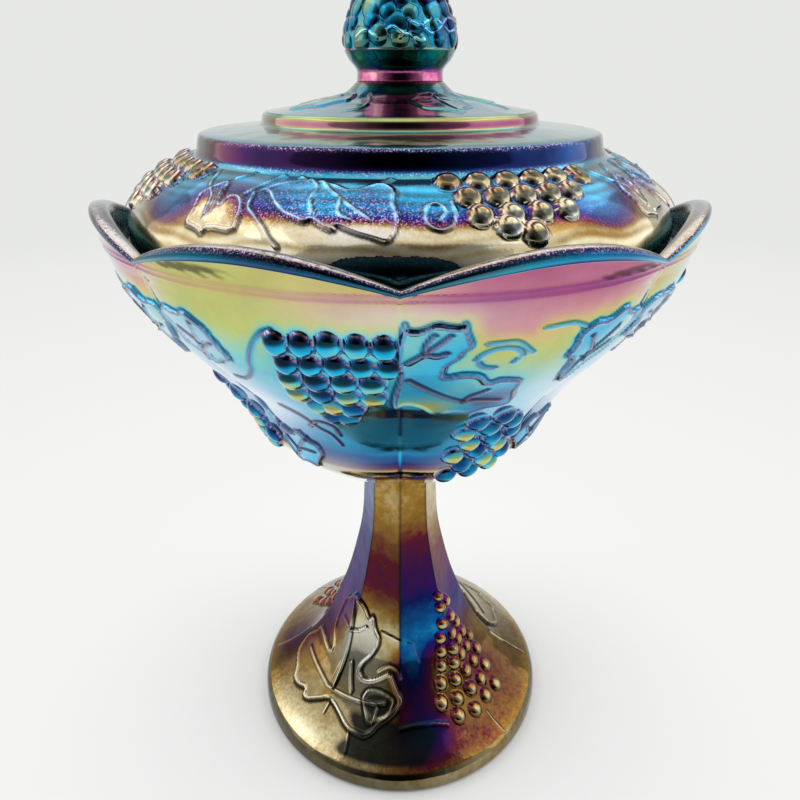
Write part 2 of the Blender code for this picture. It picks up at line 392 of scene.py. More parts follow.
class Graph:
    """Short ways to add nodes to a material's or a world's tree."""

    def __init__(self, tree):
        self.nodes, self.links = tree.nodes, tree.links

    def put(self, value, socket):
        """Links an output to the socket, or sets the socket's own value."""
        if isinstance(value, bpy.types.NodeSocket):
            self.links.new(value, socket)
        else:
            socket.default_value = value

    def add(self, kind, inputs, **settings):
        made = self.nodes.new("ShaderNode" + kind)
        for key, value in settings.items():
            setattr(made, key, value)
        for key, value in inputs.items():
            self.put(value, made.inputs[key])
        return made

    def math(self, operation, a, b):
        return self.add("Math", {0: a, 1: b}, operation=operation).outputs[0]

    def place(self, kind="Object"):
        return self.add("TexCoord", {}).outputs[kind]

    def attribute(self, name):
        return self.add("Attribute", {}, attribute_name=name).outputs["Fac"]

    def noise(self, scale, detail, rough=0.5):
        return self.add("TexNoise", {"Vector": self.place(), "Scale": scale, "Detail": detail,
                                     "Roughness": rough}).outputs["Fac"]

    def ramp(self, factor, stops):
        """A colour ramp through (position, colour) stops."""
        made = self.add("ValToRGB", {"Fac": factor})
        elements = made.color_ramp.elements
        while len(elements) < len(stops):
            elements.new(0.5)
        for element, (position, colour) in zip(elements, stops):
            element.position = position
            element.color = (*colour, 1.0)
        return made.outputs["Color"]

    def mix(self, share, first, second, blend="MIX"):
        return self.add("MixRGB", {"Fac": share, "Color1": first, "Color2": second},
                        blend_type=blend).outputs["Color"]

    def ranged(self, value, low, high, top=1.0, kind="SMOOTHSTEP"):
        return self.add("MapRange", {"Value": value, "From Min": low, "From Max": high,
                                     "To Max": top}, interpolation_type=kind).outputs["Result"]


# Colours of the metallic film in the order in which they follow one another as it thickens
FILM = [
    (0.150, 0.140, 0.110),   # 0 smoky bronze
    (0.14, 0.125, 0.09),     # 1 bronze
    (0.80, 0.82, 0.80),      # 2 silver
    (0.74, 0.66, 0.40),      # 3 pale gold
    (0.33, 0.19, 0.030),     # 4 old gold
    (0.150, 0.010, 0.022),   # 5 maroon
    (0.060, 0.002, 0.115),   # 6 purple
    (0.002, 0.006, 0.160),   # 7 navy
    (0.002, 0.120, 0.360),   # 8 blue
    (0.012, 0.520, 0.860),   # 9 sky blue
    (0.210, 0.660, 0.600),   # 10 sea green
    (0.560, 0.640, 0.190),   # 11 yellow-green
    (0.700, 0.540, 0.230),   # 12 straw
    (0.660, 0.300, 0.340),   # 13 rose
    (0.480, 0.100, 0.260),   # 14 magenta
    (0.200, 0.050, 0.330),   # 15 violet
    (0.010, 0.160, 0.240),   # 16 deep teal
    (0.050, 0.420, 0.280),   # 17 green
]
# SHEEN is also the colour of the painted sheen and painted highlights
SHEEN = (0.76, 0.83, 0.96, 1)       # the film seen at a glancing angle
# The dark glass that painted shade and painted dark reflections pull the film towards
DARK_GLASS_AND_SHADE = (0.004, 0.010, 0.012, 1)
SPECK = (0.78, 0.50, 0.80, 1)       # pink and lavender, where the mould was stippled
WORN, WHOLE = (0.86, 0.84, 0.82), (1, 1, 1)

# Noise scales of the surface's slow waves, and of its finest dots, pits and specks
WAVES, DOTS, PITS, SPECKS = 55.0, 950.0, 1100.0, 2300.0


def glass(name, roughness, drift, drift_scale, grain, grain_scale, stipple=0.0, silver=0.8,
          mottle=0.35, waves=0.9, specks=0.0):
    """Pressed glass under a metallic film.

    The mesh says, point by point, the order of the film, how stippled it is, how much painted
    sheen and painted highlight it takes, how far it is darkened towards dark glass (partly the
    film's own darker tone, mostly painted shade and painted dark reflection), and how matt it is.
    Here the order drifts by cloudy noise (drift in the large, mottle in the small), and the
    surface gets its fine grain and slow waves. Scales are per metre.
    """
    material = bpy.data.materials.new(name)
    material.use_nodes = True
    shader = material.node_tree.nodes["Principled BSDF"]
    shader.inputs["Metallic"].default_value = 1.0
    shader.inputs["IOR"].default_value = 1.5
    shader.inputs["Coat Weight"].default_value = 0.06
    shader.inputs["Coat Roughness"].default_value = 0.03
    graph = Graph(material.node_tree)
    calc, noise = graph.math, graph.noise
    painted_sheen, shade, matt, stippled = map(graph.attribute, ("painted_sheen", "shade", "matt", "stipple"))

    cloud = calc("SUBTRACT", noise(drift_scale, 3), 0.5)
    fleck = calc("SUBTRACT", noise(drift_scale * 6, 4, 0.6), 0.5)
    order = calc("ADD", graph.attribute("film"), calc("MULTIPLY", cloud, drift))
    order = calc("ADD", order, calc("MULTIPLY", fleck, drift * mottle))
    if stipple:
        dots = calc("SUBTRACT", noise(DOTS, 2), 0.5)
        dots = calc("MULTIPLY", dots, 6.0 * stipple)
        order = calc("ADD", order, calc("MULTIPLY", dots, stippled))
    last = float(len(FILM) - 1)
    colour = graph.ramp(calc("DIVIDE", order, last), [(k / last, c) for k, c in enumerate(FILM)])
    # Rubbed thin and dusty in places
    dust = graph.ramp(noise(drift_scale * 2.3, 5, 0.65), [(0.30, WORN), (0.62, WHOLE)])
    colour = graph.mix(1.0, colour, dust, "MULTIPLY")
    # Silvery at a glancing angle, and where the mesh paints a sheen and highlights
    facing = graph.add("LayerWeight", {"Blend": 0.5}).outputs["Facing"]
    glance = graph.ranged(facing, 0.62, 1.0, silver)
    colour = graph.mix(calc("MAXIMUM", glance, painted_sheen), colour, SHEEN)
    # The shade attribute darkens the film towards dark glass: partly the film's own darker tone,
    # mostly painted shade and painted dark reflection
    colour = graph.mix(shade, colour, DARK_GLASS_AND_SHADE)
    if specks:
        pink = graph.ranged(noise(SPECKS, 2), 0.52, 0.70, specks, "LINEAR")
        colour = graph.mix(calc("MULTIPLY", pink, stippled), colour, SPECK)
    graph.put(colour, shader.inputs["Base Color"])

    rough = calc("MULTIPLY", noise(90, 4, 0.6), roughness * 0.9)
    rough = calc("ADD", rough, roughness * 0.55)
    rough = calc("ADD", rough, calc("MAXIMUM", calc("MULTIPLY", shade, 0.06), matt))
    graph.put(rough, shader.inputs["Roughness"])

    swell = calc("MULTIPLY", noise(WAVES, 2), waves)
    surface = calc("ADD", swell, calc("MULTIPLY", noise(grain_scale, 3, 0.55), grain))
    if stipple:
        pits = calc("MULTIPLY", noise(PITS, 1), stippled)
        surface = calc("ADD", surface, calc("MULTIPLY", pits, 0.22 * stipple))
    bump = graph.add("Bump", {"Strength": 0.5, "Distance": 0.0006, "Height": surface})
    graph.put(bump.outputs["Normal"], shader.inputs["Normal"])
    return material


# ---------------------------------------------------------------- bowl

def bowl_ornament(relief):
    """Grapes, leaves and tendrils of one quarter of the bowl.

    A row of grapes is (height, first azimuth, step, count). Outlines, veins and tendrils are
    (azimuth, height) points.
    """
    upper = [
        (188.4, -18.5, 4.05, 5), (182.4, -18.3, 4.1, 5), (176.8, -19.2, 4.8, 4),
        (171.6, -19.6, 4.9, 4), (166.4, -17, 3.6, 3), (161.8, -15.2, 3.4, 2),
    ]
    for row, (height, first, step, count) in enumerate(upper):
        for k in range(count):
            drop = 1.4 * abs(k - (count - 1) / 2) / (count - 1)
            size = 2.95 if row < 2 else 3.3
            relief.add_grape(first + k * step, height - drop, size, 2.5 - 0.1 * row, 1.16, 0.16)
    lower = [
        (156.5, 20, 7.4, 2), (151.8, 17.6, 7.6, 3), (146.4, 21, 7.6, 3),
        (141.4, 17, 8, 3), (136.8, 21, 8.2, 3), (132.6, 16.4, 8.6, 3),
    ]
    relief.add_rows(lower, 3.4, 2.2, lean=0.15, climb=0.6)
    upper_leaf = [
        (0.6, 193.9), (1.1, 192), (2.8, 192), (5.1, 193.8), (6.9, 193.1), (8.5, 192.9),
        (9.1, 193.9), (9.5, 191.5), (10.7, 187.9), (9.2, 186.3), (9.2, 184.9), (7.2, 182.6),
        (6.9, 180.4), (7.4, 178.6), (10.4, 179.6), (13.4, 178.9), (15.6, 175.3), (17.7, 176.5),
        (22.2, 174.9), (22.6, 172.5), (22.4, 171), (23.9, 167.2), (23.6, 164.9), (20.5, 164.6),
        (18.1, 164.7), (14.6, 162.8), (10.6, 164.5), (8, 162.4), (6, 164.4), (4.1, 166.7),
        (2, 167.7), (0, 166.9), (-1.1, 165), (-1.4, 169.2), (-0.7, 174), (0.3, 179.2),
        (-0.3, 183.6), (-0.1, 187.7),
    ]
    relief.add_leaf(upper_leaf, 0.5, 0.45, 0.42, [
        [(1.2, 183.3), (3.7, 186.2), (5.7, 188.8), (7.1, 190.7)],
        [(3.7, 186.2), (3.9, 188.5), (4.8, 190.9)],
        [(3.9, 186.2), (5.4, 185.6), (6.8, 186.2)],
        [(1.5, 177.5), (5.8, 173.5), (9.1, 170.9), (12.1, 169.2), (13.3, 171.1), (15.9, 172.9)],
        [(12.1, 169.2), (15, 169.1), (20.2, 167.6)],
    ], 0.52)
    side_leaf = [
        (-41.5, 191), (-37.5, 190), (-35, 191.6), (-33.5, 189.6), (-31.8, 188),
        (-31.2, 183.5), (-30.6, 178), (-33.5, 177.8), (-36, 174.6), (-38.5, 178.6),
        (-43.5, 179), (-42, 184), (-44.5, 187),
    ]
    relief.add_leaf(side_leaf, 0.5, 0.5, 0.42, [
        [(-37.5, 176.5), (-36, 182), (-35, 188.2)], [(-36, 182), (-39.8, 185.4)],
        [(-36.6, 180), (-33, 182.8)],
    ])
    relief.add_lines([
        [(-18.7, 190.8), (-20.6, 189.4), (-23.2, 185.4), (-26, 179.8), (-27.6, 175.6),
         (-31, 171.6), (-35.4, 170.6)],
        [(12.9, 187.9), (15.6, 188.1), (17.3, 187.9), (18.9, 186.5), (21.1, 183.9)],
        [(21.5, 190.6), (26, 190.8), (29.4, 189)],
        [(-29.5, 161), (-26, 158), (-22.5, 153), (-19.5, 150.5), (-17.6, 146)],
        [(-25, 152.5), (-21.5, 156), (-17.8, 155), (-16.8, 151)],
    ], 0.45, 0.55)
    # A small low curl beside the upper leaf
    curl = [(15.6 + 3.6 * math.cos(a), 183.2 + 3.0 * math.sin(a)) for a in np.linspace(-0.6, 4.6, 9)]
    relief.add_line(curl, 0.6, 0.16)
    low_leaf = [
        (-41, 147.5), (-36, 145), (-32, 148.5), (-30, 144.5), (-26.5, 143.5),
        (-26, 139), (-28.5, 136), (-30, 132.4), (-35, 133.6), (-40, 131.4),
        (-43, 136), (-47, 139.5), (-43, 142.5),
    ]
    relief.add_leaf(low_leaf, 0.5, 0.5, 0.42, [
        [(-40, 133.8), (-36, 139), (-31, 144.6)], [(-36, 139), (-29.5, 139.5)],
        [(-37, 137.6), (-41, 142.5)],
    ])
    right_leaf = [
        (28.5, 187), (31, 190.4), (34, 189.4), (37.5, 192.6), (40, 189), (44, 189.8),
        (46, 186.4), (43, 182), (41, 177.6), (37.5, 176.4), (36, 171), (33.5, 169),
        (31.8, 174), (31.5, 179), (28.8, 180.4), (29.5, 184),
    ]
    relief.add_leaf(right_leaf, 0.5, 0.5, 0.42, [
        [(33.6, 171.5), (34.4, 179), (38.4, 186.6)], [(34.2, 178), (39.6, 181.5)],
        [(34.6, 180.5), (32, 185.8)],
    ])


def bowl_film(azimuth, height, relief):
    """Order of the film on the bowl's outside, from the ring at its foot up to the rim."""
    # The blue reaches further up left of each bunch than right of its leaf
    raised = spots(azimuth, height, [(6.5, 23, 176, 13, 14), (-1.5, -26, 182, 9, 9)], REPEAT)
    wavy = 1.2 * wave(azimuth * 12 + 70) + 0.7 * wave(azimuth * 28)
    order = stepped(height + raised + wavy * smoothstep(150, 170, height), [
        (BOWL_BOTTOM, 2.0), (127, 2.5), (132.5, 2.7), (134.8, 3.3), (136.0, 5.0), (137.2, 6.4),
        (139.2, 7.5), (142.5, 8.2), (147, 8.6), (156, 8.85), (166, 9.1), (174, 9.4), (179, 9.85),
        (183.5, 10.5), (187.5, 11), (193, 11.3), (199, 11.35), (205, 11.6), (RIM_TOP, 11.2),
    ])
    rosy = smoothstep(0.25, 0.9, 0.5 + 0.5 * wave(wrap(azimuth, REPEAT) * 4 - 8))
    order += 2.1 * rosy * smoothstep(184, 199, height)
    order += spots(azimuth, height, [(0.9, 17, 189, 6, 5), (1.1, -6, 196, 10, 6)], REPEAT)
    # Sky blue close around the ornament
    halo = np.exp(-(relief.near / 1.7) ** 1.2) * smoothstep(150, 164, height)
    order = towards(order, 9.3, 0.8 * halo)
    # Low grapes have gilt middles, and all have violet rims; each grape's film also goes darker
    # towards its top and lighter towards its bottom, a painted dark reflection on the tops
    sway = wave(azimuth * 37 + height * 23)
    gilt = 3.4 * (1 - relief.edge ** 2) * smoothstep(-0.2, 0.7, relief.tone)
    rich = 8.3 + 0.4 * sway - 0.5 * relief.lift - 1.9 * smoothstep(0.78, 1.0, relief.edge) + gilt
    plain = (9.05 + 0.3 * sway + 0.3 * relief.tone - 1.3 * relief.lift
             - 3.4 * smoothstep(0.82, 1.0, relief.edge))
    grapes = towards(rich, plain, smoothstep(170, 182, height))
    order = np.where(relief.grape > 0.5, grapes, order)
    leaf = 9.4 + 0.45 * wave(azimuth * 16 - height * 11)
    leaf = leaf + spots(azimuth, height, [(2.2, 3, 167, 8, 3), (-1.6, 17, 169, 8, 4.5)], REPEAT)
    no_grape = relief.grape < 0.5
    order = np.where((relief.leaf > 0.5) & no_grape, towards(order, leaf, 0.88), order)
    return order - (1.6 * relief.groove + 2.7 * relief.line ** 2) * no_grape


def make_bowl(material):
    cavity = smooth_run([
        (0, 124.5), (22, 125.7), (38, 132.5), (46.4, 144), (53.3, 155.1),
        (62.2, 166.8), (70.4, 178.5), (74.6, 187.5), (LEDGE_INNER, LEDGE_TOP - 0.8)], 40)
    lip_inner = RIM_RADIUS - RIM_WALL
    ledge = rounded([
        (LEDGE_INNER, LEDGE_TOP - 0.7), (LEDGE_INNER + 0.5, LEDGE_TOP),
        (LEDGE_OUTER, LEDGE_TOP), (lip_inner - 0.2, RIM_TOP - 3.4)], 0.7, 1.2)
    lip = smooth_run([
        (lip_inner - 0.2, RIM_TOP - 3.3), (lip_inner + 0.2, RIM_TOP - 1.6),
        (lip_inner + 0.9, RIM_TOP - 0.6), (lip_inner + 2.0, RIM_TOP - 0.1),
        (RIM_RADIUS - 1.7, RIM_TOP), (RIM_RADIUS - 0.7, RIM_TOP - 0.25),
        (RIM_RADIUS - 0.1, RIM_TOP - 1.1), (RIM_RADIUS, RIM_TOP - 2.0),
        (RIM_RADIUS - 0.8, RIM_TOP - LIP_DEPTH)], 30)
    outside = smooth_run([
        (RIM_RADIUS - 0.85, RIM_TOP - LIP_DEPTH - 0.1), (86.2, 199.0), (83.8, 190.2),
        (77.4, 178.5), (68.8, 166.8), (59.4, 155.1), (52.4, 143.4), (47.2, 132),
        (37.2, 122.9)], 230)
    underside = rounded([
        (37, 122.8), (27, 119.5), (17, BOWL_BOTTOM), (0, BOWL_BOTTOM)], 3, 2)
    profile, (inner, rim, out, under) = join(np.vstack([cavity, ledge]), lip, outside, underside)
    azimuths = round_azimuths(BOWL_COLUMNS)
    relief = Relief(outside, azimuths[:BOWL_COLUMNS // 4], REPEAT)
    bowl_ornament(relief)
    relief.tile(4)

    # Petals: creased between, and lowest at the creases
    place = off_crease(azimuths)[None, :]
    share = np.zeros(len(profile))
    share[rim] = smoothstep(0.1, 0.75, np.linspace(0, 1, len(lip)))
    share[out] = 1.0
    share[under] = np.linspace(1, 0, len(underside))
    r = profile[:, :1] - CREASE_DEPTH * share[:, None] * (1 - place) ** 3
    lift = np.clip((profile[:, 1:] - LEDGE_TOP) / (RIM_TOP - LEDGE_TOP), 0, 1)
    z = profile[:, 1:] - RIM_DROP * (1 - place) ** 1.9 * lift
    points = turned(r, azimuths, z)
    # A double bead line under the rim, and a fine seam down every crease
    bare = relief.up < 0.1
    bead = bell(z[out] - 200.0, 0.26) + bell(z[out] - 198.6, 0.26)
    seam = bell(np.radians(wrap(azimuths, PANEL)) * r[out], 0.45) * (relief.grape < 0.5)
    raise_ornament(points, out, relief.up + 0.25 * bead * bare + 0.22 * seam)

    order = np.full(r.shape, 9.6)
    stipple, painted_sheen, shade, matt = (np.zeros(r.shape) for _ in range(4))
    turn, level = np.meshgrid(azimuths, outside[:, 1])

    def patch(*place_and_size):
        return blob(turn, level, *place_and_size, REPEAT)

    order[out] = bowl_film(turn, level, relief)
    strip = bell(z[out] - 199.3, 1.1)
    order[out] += (0.6 * strip + 0.7 * bead) * bare
    seam_film = np.where(z[out] < 151, 10.0, 6.4)
    seam_share = 0.5 - 0.42 * smoothstep(176, 186, z[out])
    order[out] = towards(order[out], seam_film, seam_share * seam * bare)
    # Over the lip: silver, a stippled line, a blue-black strip, and blue down to the outside.
    # Painted shade darkens the whole lip, most on its inner side and in the blue-black strip, and
    # less outside on the right half.
    across = np.linspace(0, 1, len(lip))[:, None]
    order[rim] = (stepped(across, [(0, 1.6), (0.5, 2.1), (0.64, 2.3), (0.70, 7.6), (0.8, 8.7),
                                   (0.92, 9), (1, 7)])
                  + 0.6 * wave(azimuths * 8 + 30))
    shade[rim] = (stepped(across, [(0, 0.75), (0.45, 0.5), (0.58, 0.35), (0.66, 0.7), (0.72, 0.93),
                                   (0.8, 0.85), (0.86, 0.66), (0.95, 0.5), (1, 0.3)])
                  - 0.5 * smoothstep(8, 30, wrap(azimuths)) * smoothstep(0.68, 0.8, across))
    stipple[rim] = bell(across - 0.56, 0.15)
    matt[rim] = 0.10
    order[under] = 2.6
    # Painted shade over the whole inside of the bowl
    shade[inner], matt[inner] = 0.68, 0.2

    # Painted sheen and highlights: pale patches on the bowl's sides, bright lines along the ridges
    # and light rims round the grapes, with a touch on the leaves
    smooth = (1 - relief.grape) * (1 - 0.7 * relief.leaf)
    painted_sheen[out] = (
        (0.95 * patch(-37, 160, 12, 11) + 0.5 * patch(30, 168, 13, 9)
         + 0.4 * blob(turn, level, PANEL / 2, 135.5, 13, 5, PANEL)
         + 0.35 * patch(0, 195, 14, 5)) * smooth
        + 0.34 * relief.line ** 5 + (0.04 + 0.4 * patch(-38, 184, 9, 9)) * relief.leaf
        + 0.4 * relief.grape * smoothstep(0.9, 0.98, relief.edge))
    # Under each upper bunch, a painted reflection of the dark foot, blurred by matt; painted shade
    # in the grooves; and a painted dark reflection on the grapes' upper halves
    below = smoothstep(0.36, 0.72, patch(1, 154, 19, 9))
    lobe = patch(11, 166.5, 15, 5.5) + patch(5, 174.5, 9, 6)
    matt[out] = (np.clip(0.3 * below + 0.36 * smoothstep(0.3, 0.7, lobe), 0, 0.36)
                 * (1 - relief.grape))
    painted_foot_reflection = 0.5 * below + smoothstep(0.35, 0.7, patch(1, 162.8, 14, 2.6))
    painted_dark_tops = (0.92 * smoothstep(0.1, 0.4, relief.lift) * (1 - smoothstep(0.78, 0.92, relief.edge))
            * relief.grape * (0.45 + 0.55 * smoothstep(166, 178, level)))
    # Ragged stains close under the rim
    ragged = np.sin(turn * 1.1) * np.sin(z[out] * 3.1 + turn * 0.7)
    stains = spots(turn, z[out] + 0.3 * ragged, [(1, -31, 202.6, 9, 1.5), (1, 36, 200.9, 9, 1.2)])
    stains = smoothstep(0.35, 0.8, stains * (1 + 0.35 * ragged))
    # The shade adds the painted reflection and painted shade above to the strip's and the stains'
    # own darker film
    shade[out] = np.clip(painted_foot_reflection * (1 - relief.grape) + painted_dark_tops + 0.75 * relief.groove + 0.12 * strip
                         + 0.72 * stains, 0, 0.95)
    return glass_solid("bowl_glass_body", points,
                       {"film": order, "stipple": stipple, "painted_sheen": painted_sheen, "shade": shade,
                        "matt": matt},
                       "footed_bowl", "bowl", material)


# ---------------------------------------------------------------- pedestal

def foot_ornament(relief):
    """One leaf and one bunch of grapes, for half of the foot.

    A row of grapes is (height, first azimuth, step, count, size).
    """
    leaf = [
        (-51.6, 55), (-38.4, 51.8), (-30.9, 47.3), (-27.4, 49.4), (-23, 44), (-18.2, 41.5),
        (-18.6, 37.9), (-23.1, 33.4), (-28.1, 30.4), (-29.6, 28.3), (-27.2, 26.2), (-21.9, 26.1),
        (-15.9, 27.3), (-6.5, 30.8), (-1.9, 26.1), (1.6, 23.2), (0, 21.4), (-4.2, 18.5),
        (-10.9, 16), (-13.2, 14.2), (-16.5, 13.1), (-20.6, 13.3), (-25.7, 13.6), (-34, 16.2),
        (-38.5, 17.2), (-42.1, 17.4), (-46.2, 15.7), (-51, 13.6), (-54.5, 13.3), (-55.9, 14.9),
        (-61.3, 13.5), (-65.9, 13.2), (-70.3, 14.8), (-77.3, 15.6), (-81.5, 16.6), (-86.4, 21),
        (-83.2, 24.9), (-83.7, 27.3), (-77, 27.2), (-62.9, 26.4), (-57.7, 27.3), (-58.4, 29),
        (-67.7, 32), (-71.5, 38.4), (-70.2, 42.8), (-67.5, 49.5), (-61.6, 49.9),
    ]
    relief.add_leaf(leaf, 0.8, 0.75, 0.62, [
        [(-51.2, 52.5), (-47.1, 48.6), (-45.1, 41.7), (-43.1, 30.1), (-41.7, 20)],
        [(-75.3, 20.4), (-65.2, 20.4), (-51.9, 20.4), (-41.2, 20.1), (-30, 19.9), (-22.4, 20.1),
         (-14, 20.6), (-8.2, 21.5)],
        [(-60.7, 41.4), (-44.8, 41.4), (-38, 42), (-32.2, 44)],
        [(-37.2, 29.7), (-33.3, 24.6), (-30.1, 21.6)], [(-12.5, 19.9), (-13.7, 16.5)],
    ], 0.55, 0.7)
    hollow = [
        (-23, 21.1), (-21, 23.4), (-16.7, 24.3), (-10, 24.3), (-1.8, 23), (-5.3, 18.6),
        (-13.1, 16.4), (-16.3, 15.4), (-20, 18.6),
    ]
    relief.add_leaf(hollow, 0.4, 0.7, 0.6)
    rows = [
        (55, 44, 9, 1, 2.1), (50.6, 43.4, 12, 2, 2.3), (44, 41.2, 14, 2, 2.5),
        (38.6, 36.8, 12, 3, 2.6), (33.6, 34.6, 9.8, 4, 2.7), (29, 31.6, 9.4, 5, 2.7),
        (24.2, 27.6, 10, 5, 2.8), (19.6, 24.2, 9.8, 5, 2.8), (15.6, 30.8, 9.4, 4, 2.8),
    ]
    for height, first, step, count, size in rows:
        for k in range(count):
            relief.add_grape(first + k * step, height - 0.6 * (k % 2), size, 1.7)
    relief.add_lines([
        [(0, 16.1), (7.4, 16.3), (16.1, 16), (24, 14.9)],
        [(-16.8, 43.6), (-8.9, 43.1), (1.7, 42.2)],
        [(-16.1, 29.5), (-11.9, 31.2), (-6.7, 32.4), (-1.6, 31.6), (0.6, 29.4)],
        [(-24.4, 13), (-23.4, 11.4), (-22.8, 9.6)], [(-39.8, 17.2), (-39.8, 14.3)],
    ], 0.45, 0.45)
    relief.add_line([(7, 40.5), (11, 39), (15, 33)], 0.45, 0.35)
    relief.add_line([(88.5, 21), (88.5, 13), (88, 9)], 0.35, 0.35)
    relief.add_line([(44.8, 13), (45.2, 10.6), (46.2, 6)], 0.3, 0.25)


def pedestal_film(azimuth, height, relief):
    """Order of the film: each stem panel has its own, and the foot is clouded."""
    panel = np.floor((azimuth % 360) / PANEL).astype(int) % 8
    # From azimuth 0 round to the right: near the top, at mid height, at the spread of the foot
    top = np.array([4.0, 3.4, 3.4, 7.4, 3.8, 3.4, 7.2, 3.8])[panel]
    middle = np.array([6.1, 5.5, 5.4, 6.6, 5.6, 5.4, 6.5, 5.2])[panel]
    low = np.array([8.2, 6.9, 4.2, 6.3, 7.9, 6.9, 6.0, 3.4])[panel]
    up = smoothstep(64, 96, height)
    down = 1 - smoothstep(40, 66, height)
    order = middle * (1 - up) * (1 - down) + top * up + low * down
    foot = 3.75 + spots(azimuth, height, [
        (4.4, 10, 36, 13, 15), (2.4, 14, 14, 13, 6), (1.2, 62, 20, 24, 12), (0.7, 36, 10, 12, 4),
        (-0.8, -44, 9, 12, 3), (-1.0, -24, 28, 14, 10), (2.0, -86, 34, 20, 12),
        (4.2, 190, 34, 14, 15), (3.0, 205, 15, 15, 6), (1.4, 268, 15, 14, 8)])
    order = towards(order, foot, 1 - smoothstep(28, 44, height))
    # Greyer glass in the middle of the leaf
    grey = blob(azimuth, height, -32, 38, 20, 11, 180)
    order = towards(order, 2.3, np.clip(grey, 0, 0.75) * relief.leaf)
    order = np.where(relief.grape > 0.5, 3.45 + 0.9 * relief.lift + 2.0 * relief.edge ** 3, order)
    return order - 0.9 * relief.line * (relief.grape < 0.5) + 1.2 * relief.groove


def make_pedestal(material):
    flare = smooth_run([
        (STEM_RADIUS, STEM_TOP), (STEM_RADIUS, 101.0), (15.0, 82.0), (17.5, 70.3),
        (20.6, 58.6), (24.8, 46.9), (31, 32.2), (39.8, 20.6), (47.6, 13.9), (53.2, 10),
        (FOOT_RADIUS - 2.0, 7.4)], 200)
    band = smooth_run([
        (FOOT_RADIUS - 1.8, 7.2), (FOOT_RADIUS - 0.6, 5.6), (FOOT_RADIUS, 3.4),
        (FOOT_RADIUS, 0.9), (FOOT_RADIUS - 0.8, 0.0)], 18)
    hollow = smooth_run([
        (FOOT_RADIUS - 8.0, 0.0), (44.0, 7.0), (33.0, 15.5), (23.5, 27.5), (14.5, 40.5),
        (0, 46)], 24)
    cap = np.array([(0.0, STEM_TOP), (5.0, STEM_TOP), (10.0, STEM_TOP)])
    profile, (top, side, foot_band, _) = join(cap, flare, band, hollow)
    azimuths = round_azimuths(FOOT_COLUMNS)
    relief = Relief(flare, azimuths[:FOOT_COLUMNS // 2], 2 * REPEAT)
    foot_ornament(relief)
    relief.tile(2)

    # Eight flat panels, which fade into the round foot
    share = np.zeros(len(profile))
    share[side] = smoothstep(7.4, 32.2, flare[:, 1])
    share[top] = 1.0
    half_panel = math.radians(PANEL / 2)
    flat = math.cos(half_panel) / np.cos(half_panel * (1 - off_crease(azimuths)))
    r = profile[:, :1] * towards(1, flat, share[:, None])
    points = turned(r, azimuths, profile[:, 1:])
    raise_ornament(points, side, relief.up)

    order = np.full(r.shape, 2.2)
    stipple, painted_sheen, shade = (np.zeros(r.shape) for _ in range(3))
    turn, level = np.meshgrid(azimuths, flare[:, 1])
    order[side] = pedestal_film(turn, level, relief)
    # The upright band is dark olive, with a painted gold reflection a little right of the front, and
    # the same at the back
    painted_gold_reflection = bell(wrap(azimuths - 34, 180), 30)
    order[foot_band] = 3.4 + 0.2 * painted_gold_reflection
    shade[foot_band] = 0.78 - 0.44 * painted_gold_reflection
    # Painted shade along the corners between panels
    corners = bell(np.radians(wrap(turn, PANEL)) * r[side], 0.55) * smoothstep(30, 40, level)
    # A painted dark reflection: a dark patch at the front of the foot
    ragged = wrap(turn) + 2.5 * np.sin(level * 0.8)
    bare = (smoothstep(-27, -21, ragged) * smoothstep(17, 9, ragged)
            * smoothstep(8.2, 9.6, level) * smoothstep(18.5, 15.5, level))
    facing = smoothstep(0.5, 0.85, blob(turn, level, 0, 80, 80, 60, 180))
    on_leaf = (0.2 * blob(turn, level, -34, 36, 24, 14, 180)
               + 0.5 * smoothstep(0.4, 0.7, blob(turn, level, -12, 20.5, 12, 3.5, 180)))
    # Painted light and shade: the dark front patch, the stem darker at front and back, painted
    # glints and darker patches on the foot (the spots), the grey middle of the leaf a little darker,
    # painted shade in the leaf's hollow, along the corners and in the grooves, and lighter grape
    # tops and ridges. The olive of the foot's spread and outer ring is the film's own.
    shade[side] = np.clip(
        0.85 * bare
        + 0.45 * facing * smoothstep(36, 50, level) * smoothstep(100, 68, level)
        + 0.46 * smoothstep(44, 30, level) * smoothstep(7.6, 10.4, level)
        + 0.2 * smoothstep(10.4, 7.6, level)
        + spots(turn, level, [(-0.3, -50, 9, 14, 2.5), (-0.26, -66, 24, 20, 9),
                              (-0.16, 44, 9, 12, 2.5), (0.16, -60, 16, 26, 8),
                              (0.22, -84, 20, 18, 12)], 180)
        + on_leaf * relief.leaf + 0.55 * corners + 0.8 * relief.groove
        - 0.2 * relief.grape * (relief.lift > -0.2) - 0.3 * relief.line, 0, 0.95)
    # Painted highlights along the ridges
    painted_sheen[side] = 0.08 * relief.line ** 2
    stipple[side] = 0.7 * smoothstep(20, 10, level) * (relief.up < 0.3)
    return glass_solid("pedestal_glass_body", points,
                       {"film": order, "stipple": stipple, "painted_sheen": painted_sheen, "shade": shade},
                       "footed_bowl", "pedestal", material)


# ---------------------------------------------------------------- lid

